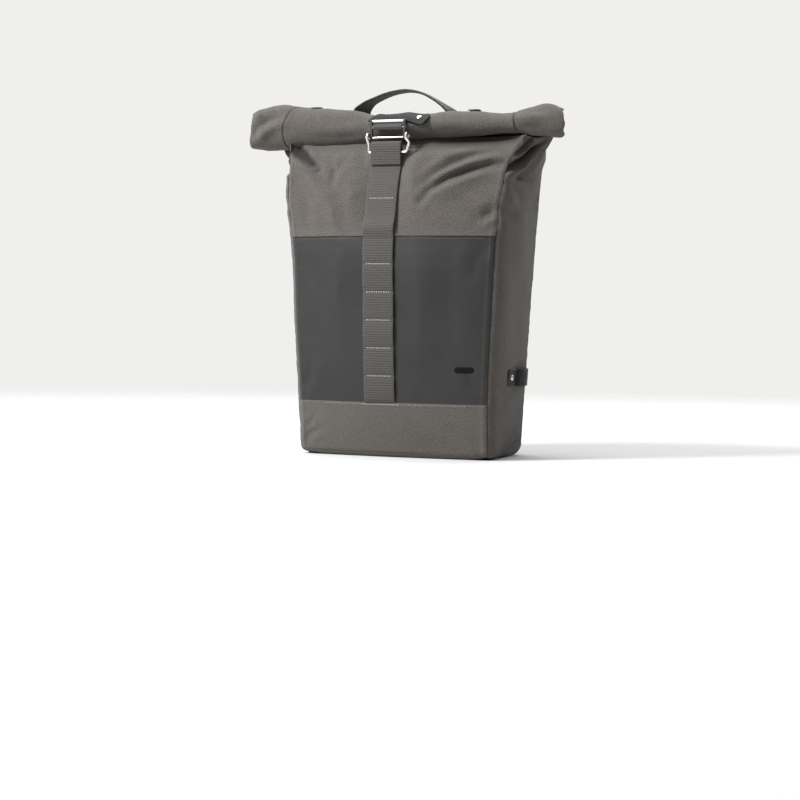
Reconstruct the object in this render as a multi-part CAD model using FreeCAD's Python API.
"""Roll-top pannier bag with a strap buckle on the front and rack hooks on the back.

Frame: millimetres, +Z up, origin at the middle of the base on the floor. -Y is the outer face with the
centre strap, +Y is the back that hangs on the rack, and X runs along the bicycle.
Every piece is written to parts/NODE.step.
"""
import FreeCAD, Part
import math
import os

V = FreeCAD.Vector

# ---- bag shell -------------------------------------------------------------------------------------
FABRIC = 2.0                 # wall of a fabric panel
BACK_Y = 68.0                # outer face of the flat back
BACK_TOP = 378.0             # height of the stiff back
BAND_TOP = 67.0              # seam between the base band and the coated panel
COATED_TOP = 270.0           # seam between the coated panel and the upper panel
NECK_TOP = 386.0             # lip of the mouth, just under the roll
# height: (front half width, back half width, front seam y, front bulge, side bulge)
SHELL = {
    0.0: (123.0, 124.0, -57.0, 8.0, 4.0),
    BAND_TOP: (123.5, 127.0, -64.0, 13.0, 8.0),
    165.0: (128.0, 133.0, -69.0, 16.0, 10.0),
    COATED_TOP: (132.5, 138.0, -72.0, 16.0, 10.0),
    330.0: (135.0, 141.0, -67.0, 5.0, 8.0),
    NECK_TOP: (151.0, 147.0, -48.0, 3.0, 0.0),
}
BASE_RADIUS = 16.0           # plan corner of the base board
BOARD = 2.6                  # stiffener boards
FRONT_COLUMNS = 12           # facets across the front
SIDE_COLUMNS = 8             # facets across a side

# ---- rolled collar ---------------------------------------------------------------------------------
ROLL_Y = -31.0               # axis of the roll
CREASE = (-9.0, 402.0)       # y, z of the crease that the roll swings about
GUSSET_TIP = (206.0, -31.0, 385.0)   # outer fold of the side gusset under the roll
# x: (lowest z, highest z, half depth)
ROLL = {
    -215.0: (391.0, 421.0, 13.0), -190.0: (388.5, 436.0, 18.0), -153.0: (388.5, 433.0, 20.0),
    -100.0: (388.5, 430.0, 20.0), -55.0: (389.0, 427.0, 20.0), 31.0: (391.0, 424.0, 19.5),
    90.0: (392.0, 423.0, 19.0), 146.0: (393.0, 421.0, 18.0), 181.0: (391.0, 427.0, 18.0),
    203.0: (392.0, 418.0, 13.0),
}
ROLL_FACETS = 24

# ---- straps and buckle -----------------------------------------------------------------------------
STRAP_X = -12.0              # middle of the centre strap
STRAP_WIDTH = 40.0
WEBBING = 1.6
STRAP_HINGE = (-90.5, 272.0)         # y, z of the seam above which the front strap is free
HOOK_BAR = (-64.5, 373.0)            # y, z of the wire hook's lower arm, in the strap's loop
LOOP_RISE = 9.5                      # how far the strap's loop stands above that arm
SLIDER_Y = -58.5
SLIDER_BOTTOM, SLIDER_MIDDLE, SLIDER_TOP = 391.5, 404.0, 411.6   # heights of its three bars
SLIDER_WIDTH = 46.5
BAR_R = 1.6
BAR_REACH = 4.5                      # how far the bottom bar stands out past the frame at each side
WIRE_R = 1.8
HOOK_SLACK = 0.5
TAB_ANGLE = math.radians(62.0)       # slope of the pull tab, which lies on the roll

# ---- handle ----------------------------------------------------------------------------------------
HANDLE_X = -24.0
HANDLE_FOOT = 70.0           # half the distance between the feet
HANDLE_HINGE = (70.5, 379.0) # y, z
HANDLE_TOP = (24.0, 458.0)   # y, z of the grip's middle

# ---- rack hooks ------------------------------------------------------------------------------------
RAIL_Z, LOWER_RAIL_Z = 332.0, 96.0   # middle of the upper and lower rails
RAIL_HALF, LOWER_RAIL_HALF = 115.0, 62.0
RAIL_TALL, RAIL_NECK = 24.0, 12.0
RAIL_BASE, RAIL_GAP, RAIL_HEAD = 4.0, 3.0, 4.0   # thicknesses away from the back
HOOK_X = 75.0
HOOK_WIDTH = 34.0
SLIDE_GAP = 0.4
TUBE_Y, TUBE_Z = BACK_Y + 29.0, 318.0    # axis of the rack tube
TUBE_R = 5.0                 # 10 mm tube, with the insert
HOOK_R, HOOK_OUTER_R = 8.0, 12.5         # 16 mm tube without the insert
LATCH_Y, LATCH_Z = BACK_Y + 14.5, 301.0  # latch pin
LATCH_WIDTH = 12.0
PIN_R = 2.0
RUNNING = 0.06               # radial clearance of the latch on its pin
ANCHOR_REACH = 36.0
ANCHOR_R = 5.2               # rack leg
SCREW_R = 2.4
UPPER_SCREWS = (-98.0, -30.0, 30.0, 98.0)
LOWER_SCREWS = (-45.0, 45.0)

HEAD_Y = BACK_Y + RAIL_BASE + RAIL_GAP + RAIL_HEAD   # outer face of a rail
BOARD_Y = BACK_Y - FABRIC - 0.2                      # outer face of the back board
STRIP_Y = BOARD_Y - BOARD - 0.2                      # outer face of the backing strip
STRIP = 2.0
NUT = 3.6

NODES = {}


# ---- general shapes --------------------------------------------------------------------------------
def keep(name, *shapes):
    """Adds solids to a node."""
    NODES.setdefault(name, []).extend(shapes)


def block(x0, x1, y0, y1, z0, z1):
    return Part.makeBox(x1 - x0, y1 - y0, z1 - z0, V(x0, y0, z0))


def rod(base, direction, radius, length):
    return Part.makeCylinder(radius, length, V(*base), V(*direction))


def faces_to_solid(triangles):
    faces = [Part.Face(Part.makePolygon([a, b, c, a])) for a, b, c in triangles]
    solid = Part.Solid(Part.Shell(faces))
    if solid.Volume < 0:
        solid.reverse()
    return solid


def quad(a, b, c, d):
    """Two triangles of a four-sided patch."""
    return [(a, b, c), (a, c, d)]


def sheet(outer, inner):
    """Closed solid between two grids of points, each a list of rows."""
    triangles = []
    rows, columns = len(outer), len(outer[0])
    for i in range(rows - 1):
        for j in range(columns - 1):
            triangles += quad(outer[i][j], outer[i][j + 1], outer[i + 1][j + 1], outer[i + 1][j])
            triangles += quad(inner[i][j], inner[i + 1][j], inner[i + 1][j + 1], inner[i][j + 1])
        for j in (0, columns - 1):
            triangles += quad(outer[i][j], outer[i + 1][j], inner[i + 1][j], inner[i][j])
    for i in (0, rows - 1):
        for j in range(columns - 1):
            triangles += quad(outer[i][j], inner[i][j], inner[i][j + 1], outer[i][j + 1])
    return faces_to_solid(triangles)


def skin(sections):
    """Closed solid over a run of closed sections that have the same number of points."""
    triangles = []
    count = len(sections[0])
    for low, high in zip(sections, sections[1:]):
        for j in range(count):
            k = (j + 1) % count
            triangles += quad(low[j], low[k], high[k], high[j])
    for section in (sections[0], sections[-1]):
        middle = sum(section, V()) * (1.0 / count)
        triangles += [(middle, section[j], section[(j + 1) % count]) for j in range(count)]
    return faces_to_solid(triangles)


def rounded(points, radius):
    """Closed wire through points with each corner rounded to radius, or to its own radius in a list."""
    count = len(points)
    radii = radius if isinstance(radius, (list, tuple)) else [radius] * count
    edges, joins = [], []
    for i, corner in enumerate(points):
        to_last = (points[i - 1] - corner).normalize()
        to_next = (points[(i + 1) % count] - corner).normalize()
        half = to_last.getAngle(to_next) / 2
        if radii[i] <= 0:
            joins.append((corner, corner))
            continue
        reach = radii[i] / math.tan(half)
        start, end = corner + to_last * reach, corner + to_next * reach
        bisector = (to_last + to_next).normalize()
        middle = corner + bisector * (radii[i] / math.sin(half) - radii[i])
        edges.append(Part.Arc(start, middle, end).toShape())
        joins.append((start, end))
    for i in range(count):
        start, end = joins[i][1], joins[(i + 1) % count][0]
        if start.distanceToPoint(end) > 1e-6:
            edges.append(Part.makeLine(start, end))
    return Part.Wire(Part.__sortEdges__(edges))


def plate(points, radius, thickness):
    """Flat plate with rounded corners; thickness is a vector."""
    return Part.Face(rounded(points, radius)).extrude(thickness)


def yz_plate(points, radius, x0, x1):
    return plate([V(x0, y, z) for y, z in points], radius, V(x1 - x0, 0, 0))


def ribbon(path, thickness, x0, x1):
    """Band of webbing: a path of (y, z) points with a thickness, from x0 to x1."""
    left, right = [], []
    for i, (y, z) in enumerate(path):
        before, after = path[max(i - 1, 0)], path[min(i + 1, len(path) - 1)]
        here = V(0, y, z)
        one, two = here - V(0, *before), V(0, *after) - here
        one = one.normalize() if one.Length else two.normalize()
        two = two.normalize() if two.Length else one
        along = (one + two).normalize()
        normal = V(0, -along.z, along.y)
        reach = thickness / 2 / max(0.6, along.dot(two))
        left.append(here + normal * reach)
        right.append(here - normal * reach)
    outline = [V(x0, p.y, p.z) for p in left + right[::-1]]
    return Part.Face(Part.makePolygon(outline + outline[:1])).extrude(V(x1 - x0, 0, 0))


def arc_points(centre, radius, start, end, count):
    """(y, z) points on an arc, with angles in degrees from +Y towards +Z."""
    angles = [math.radians(start + (end - start) * i / (count - 1)) for i in range(count)]
    return [(centre[0] + radius * math.cos(a), centre[1] + radius * math.sin(a)) for a in angles]


def wire_form(points, bend, radius):
    """Round wire along straight runs joined by tangent bends."""
    edges, start = [], points[0]
    for before, corner, after in zip(points, points[1:], points[2:]):
        to_last, to_next = (before - corner).normalize(), (after - corner).normalize()
        half = to_last.getAngle(to_next) / 2
        reach = bend / math.tan(half)
        first, last = corner + to_last * reach, corner + to_next * reach
        middle = corner + (to_last + to_next).normalize() * (bend / math.sin(half) - bend)
        edges += [Part.makeLine(start, first), Part.Arc(first, middle, last).toShape()]
        start = last
    edges.append(Part.makeLine(start, points[-1]))
    direction = (points[1] - points[0]).normalize()
    profile = Part.Wire(Part.makeCircle(radius, points[0], direction))
    return Part.Wire(edges).makePipeShell([profile], True, True)


def ring_sector(centre_y, centre_z, inner, outer, start, end, x0, x1):
    """Part of a ring about an X axis; angles in degrees from +Y towards +Z."""
    a, b = math.radians(start), math.radians(end)
    middle = (a + b) / 2

    def at(radius, angle):
        return V(x0, centre_y + radius * math.cos(angle), centre_z + radius * math.sin(angle))

    edges = [
        Part.Arc(at(outer, a), at(outer, middle), at(outer, b)).toShape(),
        Part.makeLine(at(outer, b), at(inner, b)),
        Part.Arc(at(inner, b), at(inner, middle), at(inner, a)).toShape(),
        Part.makeLine(at(inner, a), at(outer, a)),
    ]
    return Part.Face(Part.Wire(edges)).extrude(V(x1 - x0, 0, 0))


def between(table, at):
    """Row of a table at a place between its stations."""
    stations = sorted(table)
    at = min(max(at, stations[0]), stations[-1])
    for low, high in zip(stations, stations[1:]):
        if at <= high:
            t = (at - low) / (high - low)
            return [a + (b - a) * t for a, b in zip(table[low], table[high])]


# ---- surfaces of the bag ---------------------------------------------------------------------------
def front_point(s, z, out=0.0):
    """Point of the front at s from -1 to 1 across it, moved out from the fabric's outer face."""
    half, _, seam_y, bulge, _ = between(SHELL, z)
    inset = min(out, 0.0)
    return V(s * (half + inset), seam_y - bulge * (1 - s * s) - out, z)


def side_point(side, t, z, out=0.0):
    """Point of a side at t from 0 at the front seam to 1 at the back."""
    front_half, back_half, seam_y, _, bulge = between(SHELL, z)
    x = front_half + (back_half - front_half) * t + bulge * 4 * t * (1 - t) + out
    inset = -min(out, 0.0)
    y = (seam_y + inset) * (1 - t) + (BACK_Y - inset) * t
    return V(side * x, y, z)


def rows(point, columns, heights, out):
    return [[point(j / columns, z, out) for j in range(columns + 1)] for z in heights]


def levels(low, high, count):
    """Even heights from low to high, with the shell's own stations among them."""
    even = [low + (high - low) * i / count for i in range(count + 1)]
    stations = [z for z in SHELL if low < z < high]
    near = 4.0
    return sorted([z for z in even if all(abs(z - s) > near for s in stations)] + stations)


def front_sheet(low, high, count, s0=-1.0, s1=1.0, out=0.0, thickness=FABRIC, columns=FRONT_COLUMNS):
    def point(t, z, outward):
        return front_point(s0 + (s1 - s0) * t, z, outward)
    heights = levels(low, high, count)
    return sheet(rows(point, columns, heights, out), rows(point, columns, heights, out - thickness))


def front_patch(x0, x1, low, high, out, thickness, count=4, columns=4):
    """Thin sheet that lies on the front between two x values."""
    def point(t, z, outward):
        half = between(SHELL, z)[0]
        x = x0 + (x1 - x0) * t
        return V(x, front_point(x / half, z).y - outward, z)
    heights = levels(low, high, count)
    return sheet(rows(point, columns, heights, out + thickness), rows(point, columns, heights, out))


# ---- bag -------------------------------------------------------------------------------------------
def make_front():
    keep("front_base_band", front_sheet(0.0, BAND_TOP, 3))
    keep("front_coated_panel", front_sheet(BAND_TOP, COATED_TOP, 6))
    keep("front_upper_panel", front_sheet(COATED_TOP, NECK_TOP, 5))
    badge_x, badge_z, badge_wide, badge_tall = 97.0, 109.0, 24.0, 17.0
    keep("front_badge", front_patch(badge_x - badge_wide / 2, badge_x + badge_wide / 2,
                                    badge_z - badge_tall / 2, badge_z + badge_tall / 2, 0.2, 0.8, 2))


def gusset(side):
    """Side panel: a bowed wall, then a pocket that folds out under the end of the roll."""
    fold_start = 330.0
    heights = levels(0.0, fold_start, 6)

    def wall(t, z, out):
        return side_point(side, t, z, out)

    def pocket(out):
        """Rows from the wall up to the gusset's top edges."""
        base = [side_point(side, j / SIDE_COLUMNS, fold_start, out) for j in range(SIDE_COLUMNS + 1)]
        inset = -min(out, 0.0)
        tip = V(side * (GUSSET_TIP[0] - inset), GUSSET_TIP[1], GUSSET_TIP[2])
        front = V(side * (SHELL[NECK_TOP][0] - inset), SHELL[NECK_TOP][2] + inset, NECK_TOP)
        back = V(side * (SHELL[NECK_TOP][1] - inset), CREASE[0] - 0.5 - inset, CREASE[1] - 5.0)
        half = SIDE_COLUMNS // 2
        top = [front + (tip - front) * (j / half) for j in range(half + 1)]
        top += [tip + (back - tip) * (j / half) for j in range(1, half + 1)]
        shoulder_z = BACK_TOP - 2.0
        shoulder = V(side * (between(SHELL, shoulder_z)[1] - inset), base[-1].y, shoulder_z)
        rear = [shoulder, (shoulder + back) * 0.5, back]
        steps = len(rear)
        grid = []
        for i, corner in enumerate(rear, 1):
            straight = [b + (t - b) * (i / steps) for b, t in zip(base, top)]
            pull = corner - straight[-1]
            grid.append([p + pull * max(0.0, (j - half) / half) for j, p in enumerate(straight)])
        return grid

    outer = rows(wall, SIDE_COLUMNS, heights, 0.0) + pocket(0.0)
    inner = rows(wall, SIDE_COLUMNS, heights, -FABRIC) + pocket(-FABRIC)
    return sheet(outer, inner)


def back_outline(inset, low, high, y):
    """Corners of the back between two heights, which follow the side seams."""
    heights = [low] + [z for z in sorted(SHELL) if low < z < high] + [high]
    right = [V(between(SHELL, z)[1] - inset, y, z) for z in heights]
    return right + [V(-p.x, p.y, p.z) for p in right[::-1]]


def screw_places():
    return [(x, RAIL_Z) for x in UPPER_SCREWS] + [(x, LOWER_RAIL_Z) for x in LOWER_SCREWS]


def drilled(shape, radius):
    """A back layer with the rail screws' holes through it."""
    for x, z in screw_places():
        shape = shape.cut(rod((x, 0, z), (0, 1, 0), radius, 200))
    return shape


def make_back():
    hole = SCREW_R + 0.2
    mitre = FABRIC + 0.1
    outline = back_outline(mitre, 0.0, BACK_TOP, BACK_Y - FABRIC)
    fabric = Part.Face(Part.makePolygon(outline + outline[:1])).extrude(V(0, FABRIC, 0))
    keep("back_panel", drilled(fabric, hole))
    sides = back_outline(12.0, 6.0, BACK_TOP - 6, BOARD_Y - BOARD)
    half = len(sides) // 2
    corners = [sides[0], sides[-1], sides[half], sides[half - 1]]
    board = plate(corners, 14.0, V(0, BOARD, 0))
    keep("back_board", drilled(board, hole))


def make_roof():
    """Fabric from the top of the back forward to the crease."""
    back_half = between(SHELL, BACK_TOP)[1]
    crease_half = SHELL[NECK_TOP][1]
    top = [V(-back_half, BACK_Y, BACK_TOP + FABRIC + 0.1), V(back_half, BACK_Y, BACK_TOP + FABRIC + 0.1)]
    crease = [V(crease_half, CREASE[0], CREASE[1] - 1.2), V(-crease_half, CREASE[0], CREASE[1] - 1.2)]
    outer = [[top[0], top[1]], [crease[1], crease[0]]]
    inner = [[p - V(0, 0, FABRIC) for p in row] for row in outer]
    keep("back_collar", sheet(outer, inner))


def roof_z(y):
    """Height of the roof's outer face at y."""
    t = (y - CREASE[0]) / (BACK_Y - CREASE[0])
    return (CREASE[1] - 1.2) * (1 - t) + (BACK_TOP + FABRIC + 0.1) * t


def make_base():
    """Fabric base and the board that stiffens it, both inside the walls."""
    half_front, half_back, seam_y = SHELL[0.0][0], SHELL[0.0][1], SHELL[0.0][2]
    inset = FABRIC + 0.2
    corners = [V(-half_front + inset, seam_y + inset, 0), V(half_front - inset, seam_y + inset, 0),
               V(half_back - inset, BACK_Y - inset, 0), V(-half_back + inset, BACK_Y - inset, 0)]
    keep("base_panel", plate(corners, 2.0, V(0, 0, FABRIC)))
    shrink = 5.0
    board = [V(p.x - math.copysign(shrink, p.x), p.y - math.copysign(shrink, p.y), FABRIC + 0.2)
             for p in corners]
    keep("base_board", plate(board, BASE_RADIUS, V(0, 0, BOARD)))


def make_roll():
    """Rolled collar with the flat strip that stiffens its hem."""
    sections = []
    for x in sorted(ROLL):
        low, high, deep = ROLL[x]
        middle, tall = (low + high) / 2, (high - low) / 2
        angles = [2 * math.pi * i / ROLL_FACETS for i in range(ROLL_FACETS)]
        sections.append([V(x, ROLL_Y + deep * math.cos(a), middle + tall * math.sin(a)) for a in angles])
    strip = (-180.0, 172.0, ROLL_Y - 0.7, ROLL_Y + 0.7, 399.0, 416.0)
    gap = 0.3
    room = [v + (gap if i % 2 else -gap) for i, v in enumerate(strip)]
    keep("collar_roll", skin(sections).cut(block(*room)))
    keep("collar_stiffener", block(*strip))
    tab_wide = 14.0
    for name, x in (("left", -121.0), ("right", 90.0)):
        low, high, deep = between(ROLL, x)
        path = arc_points((ROLL_Y, (low + high) / 2), deep + 1.6, 96, 24, 6)
        stretch = ((high - low) / 2 + 1.6) / (deep + 1.6)
        path = [(y, (low + high) / 2 + (z - (low + high) / 2) * stretch) for y, z in path]
        keep("collar_tab_" + name, ribbon(path, WEBBING, x - tab_wide / 2, x + tab_wide / 2))


# ---- straps and buckle -----------------------------------------------------------------------------
def strap_span():
    return STRAP_X - STRAP_WIDTH / 2, STRAP_X + STRAP_WIDTH / 2


def make_front_strap():
    """Sewn lower strap, and the free upper strap whose loop holds the wire hook."""
    x0, x1 = strap_span()
    keep("front_strap_lower", front_patch(x0, x1, BAND_TOP, COATED_TOP, 0.3, WEBBING, 6))
    loop_r = WIRE_R + 0.5 + WEBBING / 2
    lead = (STRAP_HINGE[0] + 0.6, STRAP_HINGE[1] + 1.5)
    loop = arc_points((HOOK_BAR[0], HOOK_BAR[1] + LOOP_RISE), loop_r, 0, 180, 13)
    path = [lead, (-82.0, 300.0), (-78.0, 316.0), (-73.0, 334.0), (HOOK_BAR[0] + 0.4, 356.0)]
    path += [(HOOK_BAR[0] + loop_r, HOOK_BAR[1] - 4)] + loop
    path += [(HOOK_BAR[0] - loop_r, HOOK_BAR[1] - 4), (HOOK_BAR[0] - 2.3, 357.0)]
    keep("front_strap_upper", ribbon(path, WEBBING, x0, x1))


def hook_height():
    """Height of the wire hook's upper arm, which bears on the slider's bottom bar."""
    return SLIDER_BOTTOM + BAR_R + WIRE_R + HOOK_SLACK


def make_wire_hook():
    """Bail whose two ends rest on the bottom bar outside the frame; its lower arm is in the strap's loop."""
    end = SLIDER_WIDTH / 2 + BAR_REACH / 2
    front_y, top = SLIDER_Y - 4.6, hook_height()
    low_y, low_z = HOOK_BAR
    left_low, right_low, right_wide = -STRAP_WIDTH / 2 - 2.4, STRAP_WIDTH / 2 + 6.5, STRAP_WIDTH / 2 + 10.5

    def at(x, y, z):
        return V(STRAP_X + x, y, z)

    route = [at(-end, SLIDER_Y + 1.6, top), at(-end, front_y, top), at(-end, front_y - 0.4, top - 6),
             at(left_low, low_y, low_z + 9), at(left_low, low_y, low_z),
             at(right_low, low_y, low_z), at(right_wide, low_y, low_z + 11),
             at(end, front_y - 0.4, top - 6), at(end, front_y, top), at(end, SLIDER_Y + 1.6, top)]
    keep("wire_hook", wire_form(route, 1.8, WIRE_R))


def make_slider():
    """Black frame with three bright bars; the closure strap wraps the middle one."""
    rail_wide, rail_deep, over = 2.8, 3.8, 2.4
    x0, x1 = STRAP_X - SLIDER_WIDTH / 2, STRAP_X + SLIDER_WIDTH / 2
    for a, b in ((x0, x0 + rail_wide), (x1 - rail_wide, x1)):
        corners = [(SLIDER_Y - rail_deep / 2, SLIDER_BOTTOM - over),
                   (SLIDER_Y + rail_deep / 2, SLIDER_BOTTOM - over),
                   (SLIDER_Y + rail_deep / 2, SLIDER_TOP + over),
                   (SLIDER_Y - rail_deep / 2, SLIDER_TOP + over)]
        rail = yz_plate(corners, 1.6, a, b)
        for z in (SLIDER_BOTTOM, SLIDER_MIDDLE, SLIDER_TOP):
            rail = rail.cut(rod((a - 1, SLIDER_Y, z), (1, 0, 0), BAR_R + 0.02, rail_wide + 2))
        keep("slider_frame", rail)
    for z in (SLIDER_MIDDLE, SLIDER_TOP):
        keep("slider_bars", rod((x0, SLIDER_Y, z), (1, 0, 0), BAR_R, x1 - x0))
    reach, head = BAR_REACH, 0.9
    bottom = rod((x0 - reach, SLIDER_Y, SLIDER_BOTTOM), (1, 0, 0), BAR_R, x1 - x0 + 2 * reach)
    for x in (x0 - reach - head, x1 + reach):
        bottom = bottom.fuse(rod((x, SLIDER_Y, SLIDER_BOTTOM), (1, 0, 0), BAR_R + 1.0, head))
    keep("slider_bars", bottom)


def over_roll(x, lift, start, end, count):
    """(y, z) points over the roll at x, lifted off its surface."""
    low, high, deep = between(ROLL, x)
    middle, tall = (low + high) / 2, (high - low) / 2
    angles = [math.radians(start + (end - start) * i / (count - 1)) for i in range(count)]
    return [(ROLL_Y + (deep + lift) * math.cos(a), middle + (tall + lift) * math.sin(a)) for a in angles]


def make_closure_strap():
    """Strap from the crease over the roll to the slider's middle bar, and its sewn rear end."""
    x0, x1 = strap_span()
    lift = 1.9
    wrap = BAR_R + 0.3 + WEBBING / 2
    middle_bar = (SLIDER_Y, SLIDER_MIDDLE)
    path = over_roll(STRAP_X - 20, lift, -2, 164, 16)
    path += [(ROLL_Y - 21.9, 411.0), (SLIDER_Y + 1.2, 407.7)]
    path += arc_points(middle_bar, wrap, 118, 350, 12)
    keep("closure_strap", ribbon(path, WEBBING, x0, x1))
    lap = [(CREASE[0] + 3.5, roof_z(CREASE[0] + 3.5) + 1.1), (CREASE[0] + 50.0, roof_z(CREASE[0] + 50) + 1.1)]
    keep("closure_strap_anchor", ribbon(lap, WEBBING, x0, x1))


def make_pull_tab():
    """Coated tab on the strap's tail, with a rivet; it lies across the front of the roll."""
    along = V(0, math.cos(TAB_ANGLE), math.sin(TAB_ANGLE))
    normal = V(0, -math.sin(TAB_ANGLE), math.cos(TAB_ANGLE))
    low, high, deep = between(ROLL, STRAP_X - 20)
    middle = V(0, ROLL_Y, (low + high) / 2)
    stand = math.hypot(deep * normal.y, (high - low) / 2 * normal.z) + 3.4
    thick = 1.8
    start = middle + normal * stand - along * 9.5
    corners = [(-34.0, 9.5), (-20.0, 18.5), (14.0, 21.5), (27.0, 22.0), (33.5, 13.0), (27.0, 0.5),
               (15.5, 2.5), (13.5, 9.0)]
    tab = plate([start + V(x, 0, 0) + along * s for x, s in corners], 1.4, normal * thick)
    place = start + V(24.5, 0, 0) + along * 11.0
    shank, head, head_tall = 1.5, 3.2, 1.1
    tab = tab.cut(Part.makeCylinder(shank, 10, place - normal * 4, normal))
    rivet = Part.makeCylinder(shank, thick, place, normal)
    cap = Part.makeCylinder(head, head_tall, place + normal * thick, normal)
    cap = cap.makeFillet(0.7, [cap.Edges[0]])
    under = Part.makeCylinder(head - 0.6, 0.8, place - normal * 0.8, normal)
    keep("strap_pull_tab", tab)
    keep("pull_tab_rivet", rivet.fuse([cap, under]).removeSplitter())


def make_handle():
    """Webbing grab handle: flat feet on the back, turned on edge and folded at the grip."""
    foot_wide, foot_thick, grip_wide, grip_thick = 26.0, 2.4, 22.0, 4.0
    lean = V(0, HANDLE_TOP[0] - HANDLE_HINGE[0], HANDLE_TOP[1] - HANDLE_HINGE[1])
    rise = lean.Length
    up = lean.normalize()
    across = V(1, 0, 0)
    depth = up.cross(across)
    base = V(HANDLE_X, HANDLE_HINGE[0], HANDLE_HINGE[1] + 0.8)
    # share of the way from the middle to the foot, height share, turn from grip to foot
    stations = [(1.0, 0.0, 0.0), (0.98, 0.22, 0.15), (0.93, 0.45, 0.55), (0.84, 0.64, 0.9),
                (0.66, 0.83, 1.0), (0.4, 0.95, 1.0), (0.0, 1.0, 1.0)]
    stations += [(-x, h, turn) for x, h, turn in stations[-2::-1]]
    middles = [base + across * (-HANDLE_FOOT * x) + up * (rise * h) for x, h, _ in stations]
    sections = []
    for i, (_, _, turn) in enumerate(stations):
        before, after = middles[max(i - 1, 0)], middles[min(i + 1, len(middles) - 1)]
        along = (after - before).normalize()
        normal = along.cross(depth).normalize()
        in_plane = foot_wide + (grip_thick - foot_wide) * turn
        in_depth = foot_thick + (grip_wide - foot_thick) * turn
        a, b = normal * (in_plane / 2), depth * (in_depth / 2)
        if i in (0, len(stations) - 1):
            a = across * (in_plane / 2) * (-1 if i == 0 else 1)
        m = middles[i]
        sections.append([m - a - b, m + a - b, m + a + b, m - a + b])
    keep("grab_handle", skin(sections))
    patch_low, patch_high = 355.0, 377.5
    for name, side in (("left", -1), ("right", 1)):
        x = HANDLE_X + side * HANDLE_FOOT
        corners = [V(x - 13, BACK_Y + 0.1, patch_low), V(x + 13, BACK_Y + 0.1, patch_low),
                   V(x + 13, BACK_Y + 0.1, patch_high), V(x - 13, BACK_Y + 0.1, patch_high)]
        keep("handle_anchor_" + name, plate(corners, 1.0, V(0, 2.2, 0)))


def make_light_loop(name, side):
    """Coated strip riveted to the side near the back, which stands off as a loop for a lamp."""
    low, high, thick = 89.0, 110.0, 1.8
    start, end = 0.36, 0.975
    rivets = (0.49, 0.93)
    bow_start, bow_end, bow_tall = 0.54, 0.88, 8.0
    columns = 16

    def point(t, z, out):
        place = start + (end - start) * t
        share = min(max((place - bow_start) / (bow_end - bow_start), 0.0), 1.0)
        bow = bow_tall * math.sqrt(max(0.0, math.sin(math.pi * share)))
        return side_point(side, place, z) + V(side * (0.3 + bow + out), 0, 0)

    loop = sheet(rows(point, columns, (low, high), thick), rows(point, columns, (low, high), 0.0))
    z = (low + high) / 2
    shank = 1.8
    for t in rivets:
        at = side_point(side, t, z)
        tool = rod((at.x - side * 10, at.y, z), (side, 0, 0), shank, 24)
        loop = loop.cut(tool)
        NODES["side_gusset_" + name] = [NODES["side_gusset_" + name][0].cut(tool)]
        shaft = rod((at.x - side * (FABRIC + 1.3), at.y, z), (side, 0, 0), shank - 0.05, FABRIC + thick + 2.8)
        cap = rod((at.x + side * (thick + 1.4), at.y, z), (side, 0, 0), 3.6, 1.2)
        back = rod((at.x - side * (FABRIC + 2.3), at.y, z), (side, 0, 0), 3.4, 1.0)
        keep("light_loop_rivets_" + name, shaft.fuse([cap, back]).removeSplitter())
    keep("light_loop_" + name, loop)


# ---- rack hooks ------------------------------------------------------------------------------------
def rail(half, middle):
    """T-shaped rail with counterbored screw holes and an end stop at each end."""
    tall, neck = RAIL_TALL / 2, RAIL_NECK / 2
    y1, y2, y3 = BACK_Y + RAIL_BASE, BACK_Y + RAIL_BASE + RAIL_GAP, HEAD_Y
    outline = [(BACK_Y, -tall), (y1, -tall), (y1, -neck), (y2, -neck), (y2, -tall), (y3, -tall),
               (y3, tall), (y2, tall), (y2, neck), (y1, neck), (y1, tall), (BACK_Y, tall)]
    radii = [0.6, 0.6, 0.5, 0.5, 0.5, 1.2, 1.2, 0.5, 0.5, 0.5, 0.6, 0.6]
    return yz_plate([(y, middle + z) for y, z in outline], radii, -half, half)


def channel(middle, outer_y, low, high, x0, x1):
    """Slider that wraps the head of a rail."""
    tall = RAIL_TALL / 2
    y0 = BACK_Y + RAIL_BASE + SLIDE_GAP
    y1 = BACK_Y + RAIL_BASE + RAIL_GAP - SLIDE_GAP
    y2 = HEAD_Y + SLIDE_GAP
    lip = RAIL_NECK / 2 + SLIDE_GAP
    outline = [(y0, middle + lip), (y1, middle + lip), (y1, middle + tall + SLIDE_GAP),
               (y2, middle + tall + SLIDE_GAP), (y2, middle - tall - SLIDE_GAP),
               (y1, middle - tall - SLIDE_GAP), (y1, middle - lip), (y0, middle - lip),
               (y0, low), (outer_y, low), (outer_y, high), (y0, high)]
    radii = [0.5, 0.5, 0.3, 0.3, 0.3, 0.3, 0.5, 0.5, 2.0, 2.0, 3.0, 2.0]
    return yz_plate(outline, radii, x0, x1)


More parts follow.
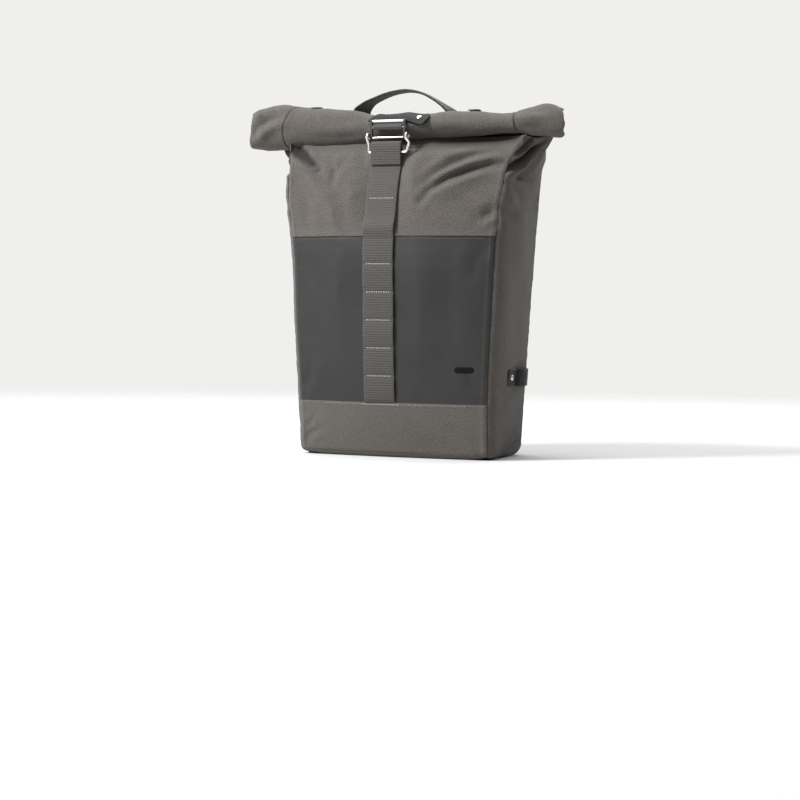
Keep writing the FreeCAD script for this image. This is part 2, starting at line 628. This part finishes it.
def make_rails():
    """Both rails, with their screws, backing strips and nuts."""
    counterbore, head_r, head_tall = 4.4, 4.2, 2.8
    cap = 4.0
    for level, half, middle, places in (("upper", RAIL_HALF, RAIL_Z, UPPER_SCREWS),
                                        ("lower", LOWER_RAIL_HALF, LOWER_RAIL_Z, LOWER_SCREWS)):
        body = rail(half, middle)
        strip_tall = 18.0
        strip = plate([V(-half + 4, STRIP_Y - STRIP, middle - strip_tall / 2),
                       V(half - 4, STRIP_Y - STRIP, middle - strip_tall / 2),
                       V(half - 4, STRIP_Y - STRIP, middle + strip_tall / 2),
                       V(-half + 4, STRIP_Y - STRIP, middle + strip_tall / 2)], 4.0, V(0, STRIP, 0))
        for x in places:
            hole = rod((x, 0, middle), (0, 1, 0), SCREW_R + 0.2, 200)
            body = body.cut(hole).cut(rod((x, HEAD_Y - 3.2, middle), (0, 1, 0), counterbore, 10))
            strip = strip.cut(hole)
            shank = rod((x, STRIP_Y - STRIP - NUT - 0.8, middle), (0, 1, 0), SCREW_R,
                        HEAD_Y - 3.2 - (STRIP_Y - STRIP - NUT - 0.8))
            head = rod((x, HEAD_Y - 3.2, middle), (0, 1, 0), head_r, head_tall)
            socket = Part.Face(Part.makePolygon([V(x + 2.2 * math.cos(math.radians(60 * k)), HEAD_Y - 2.2,
                                                   middle + 2.2 * math.sin(math.radians(60 * k)))
                                                 for k in range(7)])).extrude(V(0, 5, 0))
            keep(level + "_rail_screws", shank.fuse(head).removeSplitter().cut(socket))
            hexagon = [V(x + 4.6 * math.cos(math.radians(60 * k)), STRIP_Y - STRIP - NUT,
                         middle + 4.6 * math.sin(math.radians(60 * k))) for k in range(7)]
            nut = Part.Face(Part.makePolygon(hexagon)).extrude(V(0, NUT, 0))
            keep(level + "_rail_nuts", nut.cut(rod((x, 0, middle), (0, 1, 0), SCREW_R + 0.02, 200)))
        keep(level + "_rail", body)
        keep(level + "_backing_strip", strip)
        for side in (-1, 1):
            x0, x1 = sorted((side * (half + 0.1), side * (half + cap)))
            tall = RAIL_TALL / 2 + 1.4
            corners = [(BACK_Y + 0.1, middle - tall), (HEAD_Y + 1.0, middle - tall),
                       (HEAD_Y + 1.0, middle + tall), (BACK_Y + 0.1, middle + tall)]
            keep(level + "_rail_end_caps", yz_plate(corners, 2.5, x0, x1))


def make_hook(name, x):
    """Hook that slides on the upper rail, with its insert, latch, pin, spring and clamp screw."""
    half, slot = HOOK_WIDTH / 2, LATCH_WIDTH / 2 + 0.5
    x0, x1 = x - half, x + half
    plate_y = HEAD_Y + 7.0
    low, high = RAIL_Z - RAIL_TALL / 2 - 6, RAIL_Z + RAIL_TALL / 2 + 6
    body = channel(RAIL_Z, plate_y, low, high, x0, x1)
    ring = ring_sector(TUBE_Y, TUBE_Z, HOOK_R, HOOK_OUTER_R, -24, 200, x0, x1)
    web = yz_plate([(plate_y - 2, TUBE_Z - 1), (TUBE_Y - 6, TUBE_Z - 1), (TUBE_Y + 4, TUBE_Z + 11.6),
                    (TUBE_Y - 2, TUBE_Z + 14), (plate_y - 2, TUBE_Z + 16)], [0.5, 0.5, 1.5, 2.0, 0.5], x0, x1)
    cheek = yz_plate([(HEAD_Y + SLIDE_GAP, LATCH_Z - 7), (LATCH_Y + 5.6, LATCH_Z - 7),
                      (LATCH_Y + 6.2, LATCH_Z + 8), (plate_y + 1.5, TUBE_Z - 2),
                      (HEAD_Y + SLIDE_GAP, TUBE_Z + 4)], [2.0, 4.0, 3.0, 0.5, 0.5], x0, x1)
    body = body.fuse([ring, web, cheek])
    body = body.cut(rod((x0 - 1, TUBE_Y, TUBE_Z), (1, 0, 0), HOOK_R, HOOK_WIDTH + 2))
    body = body.cut(block(x - slot, x + slot, HEAD_Y + 1.2, TUBE_Y + 20, low - 2, TUBE_Z + 3))
    body = body.cut(block(x - slot, x + slot, BACK_Y, TUBE_Y + 20, LATCH_Z - 10, low - 2))
    body = body.cut(rod((x0 - 1, LATCH_Y, LATCH_Z), (1, 0, 0), PIN_R + 0.02, HOOK_WIDTH + 2))
    screw_z = RAIL_Z + 9.0
    body = body.cut(rod((x, HEAD_Y, screw_z), (0, 1, 0), 2.5, 12)).removeSplitter()
    keep("hook_" + name, body)

    insert = ring_sector(TUBE_Y, TUBE_Z, TUBE_R, HOOK_R - 0.1, -14, 194, x - 15, x + 15)
    keep("hook_insert_" + name, insert)
    keep("latch_pin_" + name, rod((x - half + 0.5, LATCH_Y, LATCH_Z), (1, 0, 0), PIN_R, HOOK_WIDTH - 1))

    wide = LATCH_WIDTH / 2
    nose = [(LATCH_Y - 2.5, LATCH_Z + 4.5), (LATCH_Y + 5.6, LATCH_Z + 10.4), (LATCH_Y + 10.0, LATCH_Z + 11.0),
            (LATCH_Y + 13.2, LATCH_Z + 9.6), (LATCH_Y + 12.6, LATCH_Z + 7.0), (LATCH_Y + 5.0, LATCH_Z - 2.5)]
    lever = [(LATCH_Y - 4.5, LATCH_Z), (LATCH_Y - 1.5, LATCH_Z - 24), (LATCH_Y + 4.5, LATCH_Z - 30),
             (LATCH_Y + 7.0, LATCH_Z - 27.5), (LATCH_Y + 2.6, LATCH_Z - 22), (LATCH_Y + 4.8, LATCH_Z)]
    latch = rod((x - wide, LATCH_Y, LATCH_Z), (1, 0, 0), 5.2, LATCH_WIDTH)
    latch = latch.fuse([yz_plate(nose, [0.5, 2.0, 2.0, 1.0, 1.0, 0.5], x - wide, x + wide),
                        yz_plate(lever, [0.5, 4.0, 1.2, 1.2, 4.0, 0.5], x - wide, x + wide)])
    latch = latch.cut(rod((x - wide - 1, LATCH_Y, LATCH_Z), (1, 0, 0), PIN_R + RUNNING, LATCH_WIDTH + 2))
    latch = latch.cut(rod((x + wide - 4.6, LATCH_Y, LATCH_Z), (1, 0, 0), 4.2, 6)).removeSplitter()
    keep("latch_" + name, latch)

    pitch, turns, coil_r, spring_r = 1.2, 3, 3.1, 0.4
    helix = Part.makeHelix(pitch, pitch * turns, coil_r)
    circle = Part.Wire(Part.makeCircle(spring_r, V(coil_r, 0, 0), V(0, 1, 0)))
    spring = Part.Wire(helix).makePipeShell([circle], True, True)
    spring.rotate(V(0, 0, 0), V(0, 1, 0), 90)
    spring.translate(V(x + wide - 4.1, LATCH_Y, LATCH_Z))
    keep("latch_spring_" + name, spring)

    shank = rod((x, HEAD_Y + 0.05, screw_z), (0, 1, 0), 2.4, 8)
    knob = rod((x, plate_y + 0.2, screw_z), (0, 1, 0), 5.4, 5.0)
    for k in range(8):
        a = math.radians(45 * k)
        knob = knob.cut(rod((x + 6.2 * math.cos(a), plate_y, screw_z + 6.2 * math.sin(a)), (0, 1, 0), 1.5, 8))
    keep("hook_clamp_screw_" + name, shank.fuse(knob).removeSplitter())


def make_anchor():
    """Lower anchor: a carrier on the lower rail and an arm that swivels behind the rack's leg."""
    half = 13.0
    plate_y = HEAD_Y + 6.5
    tall = RAIL_TALL / 2 + 5.5
    carrier = channel(LOWER_RAIL_Z, plate_y, LOWER_RAIL_Z - tall, LOWER_RAIL_Z + tall, -half, half)
    pivot_r = 3.0
    carrier = carrier.cut(rod((0, HEAD_Y, LOWER_RAIL_Z), (0, 1, 0), pivot_r + 0.02, 12))
    grub_x, grub_z = -8.0, LOWER_RAIL_Z + 9.0
    carrier = carrier.cut(rod((grub_x, HEAD_Y, grub_z), (0, 1, 0), 2.05, 12))
    keep("anchor_carrier", carrier.removeSplitter())
    keep("anchor_set_screw", rod((grub_x, HEAD_Y + 0.05, grub_z), (0, 1, 0), 2.0, plate_y - HEAD_Y - 0.4))

    arm_y, arm_thick, arm_tall = plate_y + 0.3, 4.5, 12.0
    outer_r = ANCHOR_R + 4.0
    low = LOWER_RAIL_Z - arm_tall / 2
    boss = rod((0, arm_y, LOWER_RAIL_Z), (0, 1, 0), 9.0, arm_thick)
    bar = block(0, ANCHOR_REACH, arm_y, arm_y + arm_thick, low, low + arm_tall)
    a, b = math.radians(-118), math.radians(96)
    centre = V(ANCHOR_REACH, TUBE_Y, low)

    def at(radius, angle):
        return centre + V(radius * math.cos(angle), radius * math.sin(angle), 0)

    middle = (a + b) / 2
    edges = [Part.Arc(at(outer_r, a), at(outer_r, middle), at(outer_r, b)).toShape(),
             Part.makeLine(at(outer_r, b), at(ANCHOR_R, b)),
             Part.Arc(at(ANCHOR_R, b), at(ANCHOR_R, middle), at(ANCHOR_R, a)).toShape(),
             Part.makeLine(at(ANCHOR_R, a), at(outer_r, a))]
    claw = Part.Face(Part.Wire(edges)).extrude(V(0, 0, arm_tall))
    arm = boss.fuse([bar, claw]).cut(rod((ANCHOR_REACH, TUBE_Y, low - 1), (0, 0, 1), ANCHOR_R, arm_tall + 2))
    arm = arm.cut(rod((0, 0, LOWER_RAIL_Z), (0, 1, 0), pivot_r + RUNNING, 200)).removeSplitter()
    keep("anchor_arm", arm)
    shank = rod((0, HEAD_Y + 0.5, LOWER_RAIL_Z), (0, 1, 0), pivot_r, arm_y + arm_thick + 0.2 - HEAD_Y - 0.5)
    head = rod((0, arm_y + arm_thick + 0.2, LOWER_RAIL_Z), (0, 1, 0), 6.0, 2.6)
    head = head.makeFillet(1.2, [e for e in head.Edges if e.BoundBox.YLength < 1e-6
                                 and e.BoundBox.YMin > arm_y + arm_thick + 1])
    slot = block(-4.2, 4.2, arm_y + arm_thick + 1.6, arm_y + arm_thick + 5, LOWER_RAIL_Z - 0.6, LOWER_RAIL_Z + 0.6)
    keep("anchor_pivot_screw", shank.fuse(head).removeSplitter().cut(slot))


def main():
    make_front()
    for name, side in (("left", -1), ("right", 1)):
        keep("side_gusset_" + name, gusset(side))
        make_light_loop(name, side)
    make_back()
    make_roof()
    make_base()
    make_roll()
    make_front_strap()
    make_wire_hook()
    make_slider()
    make_closure_strap()
    make_pull_tab()
    make_handle()
    make_rails()
    make_hook("left", -HOOK_X)
    make_hook("right", HOOK_X)
    make_anchor()
    os.makedirs("parts", exist_ok=True)
    for name, shapes in sorted(NODES.items()):
        solids = [solid for shape in shapes for solid in shape.Solids]
        bad = [s for s in solids if not s.isValid() or s.Volume <= 0]
        print(name, len(solids), "solids", round(sum(s.Volume for s in solids)), "mm3", "BAD" if bad else "")
        whole = solids[0] if len(solids) == 1 else Part.makeCompound(solids)
        whole.exportStep("parts/" + name + ".step")
    print(len(NODES), "nodes")


main()
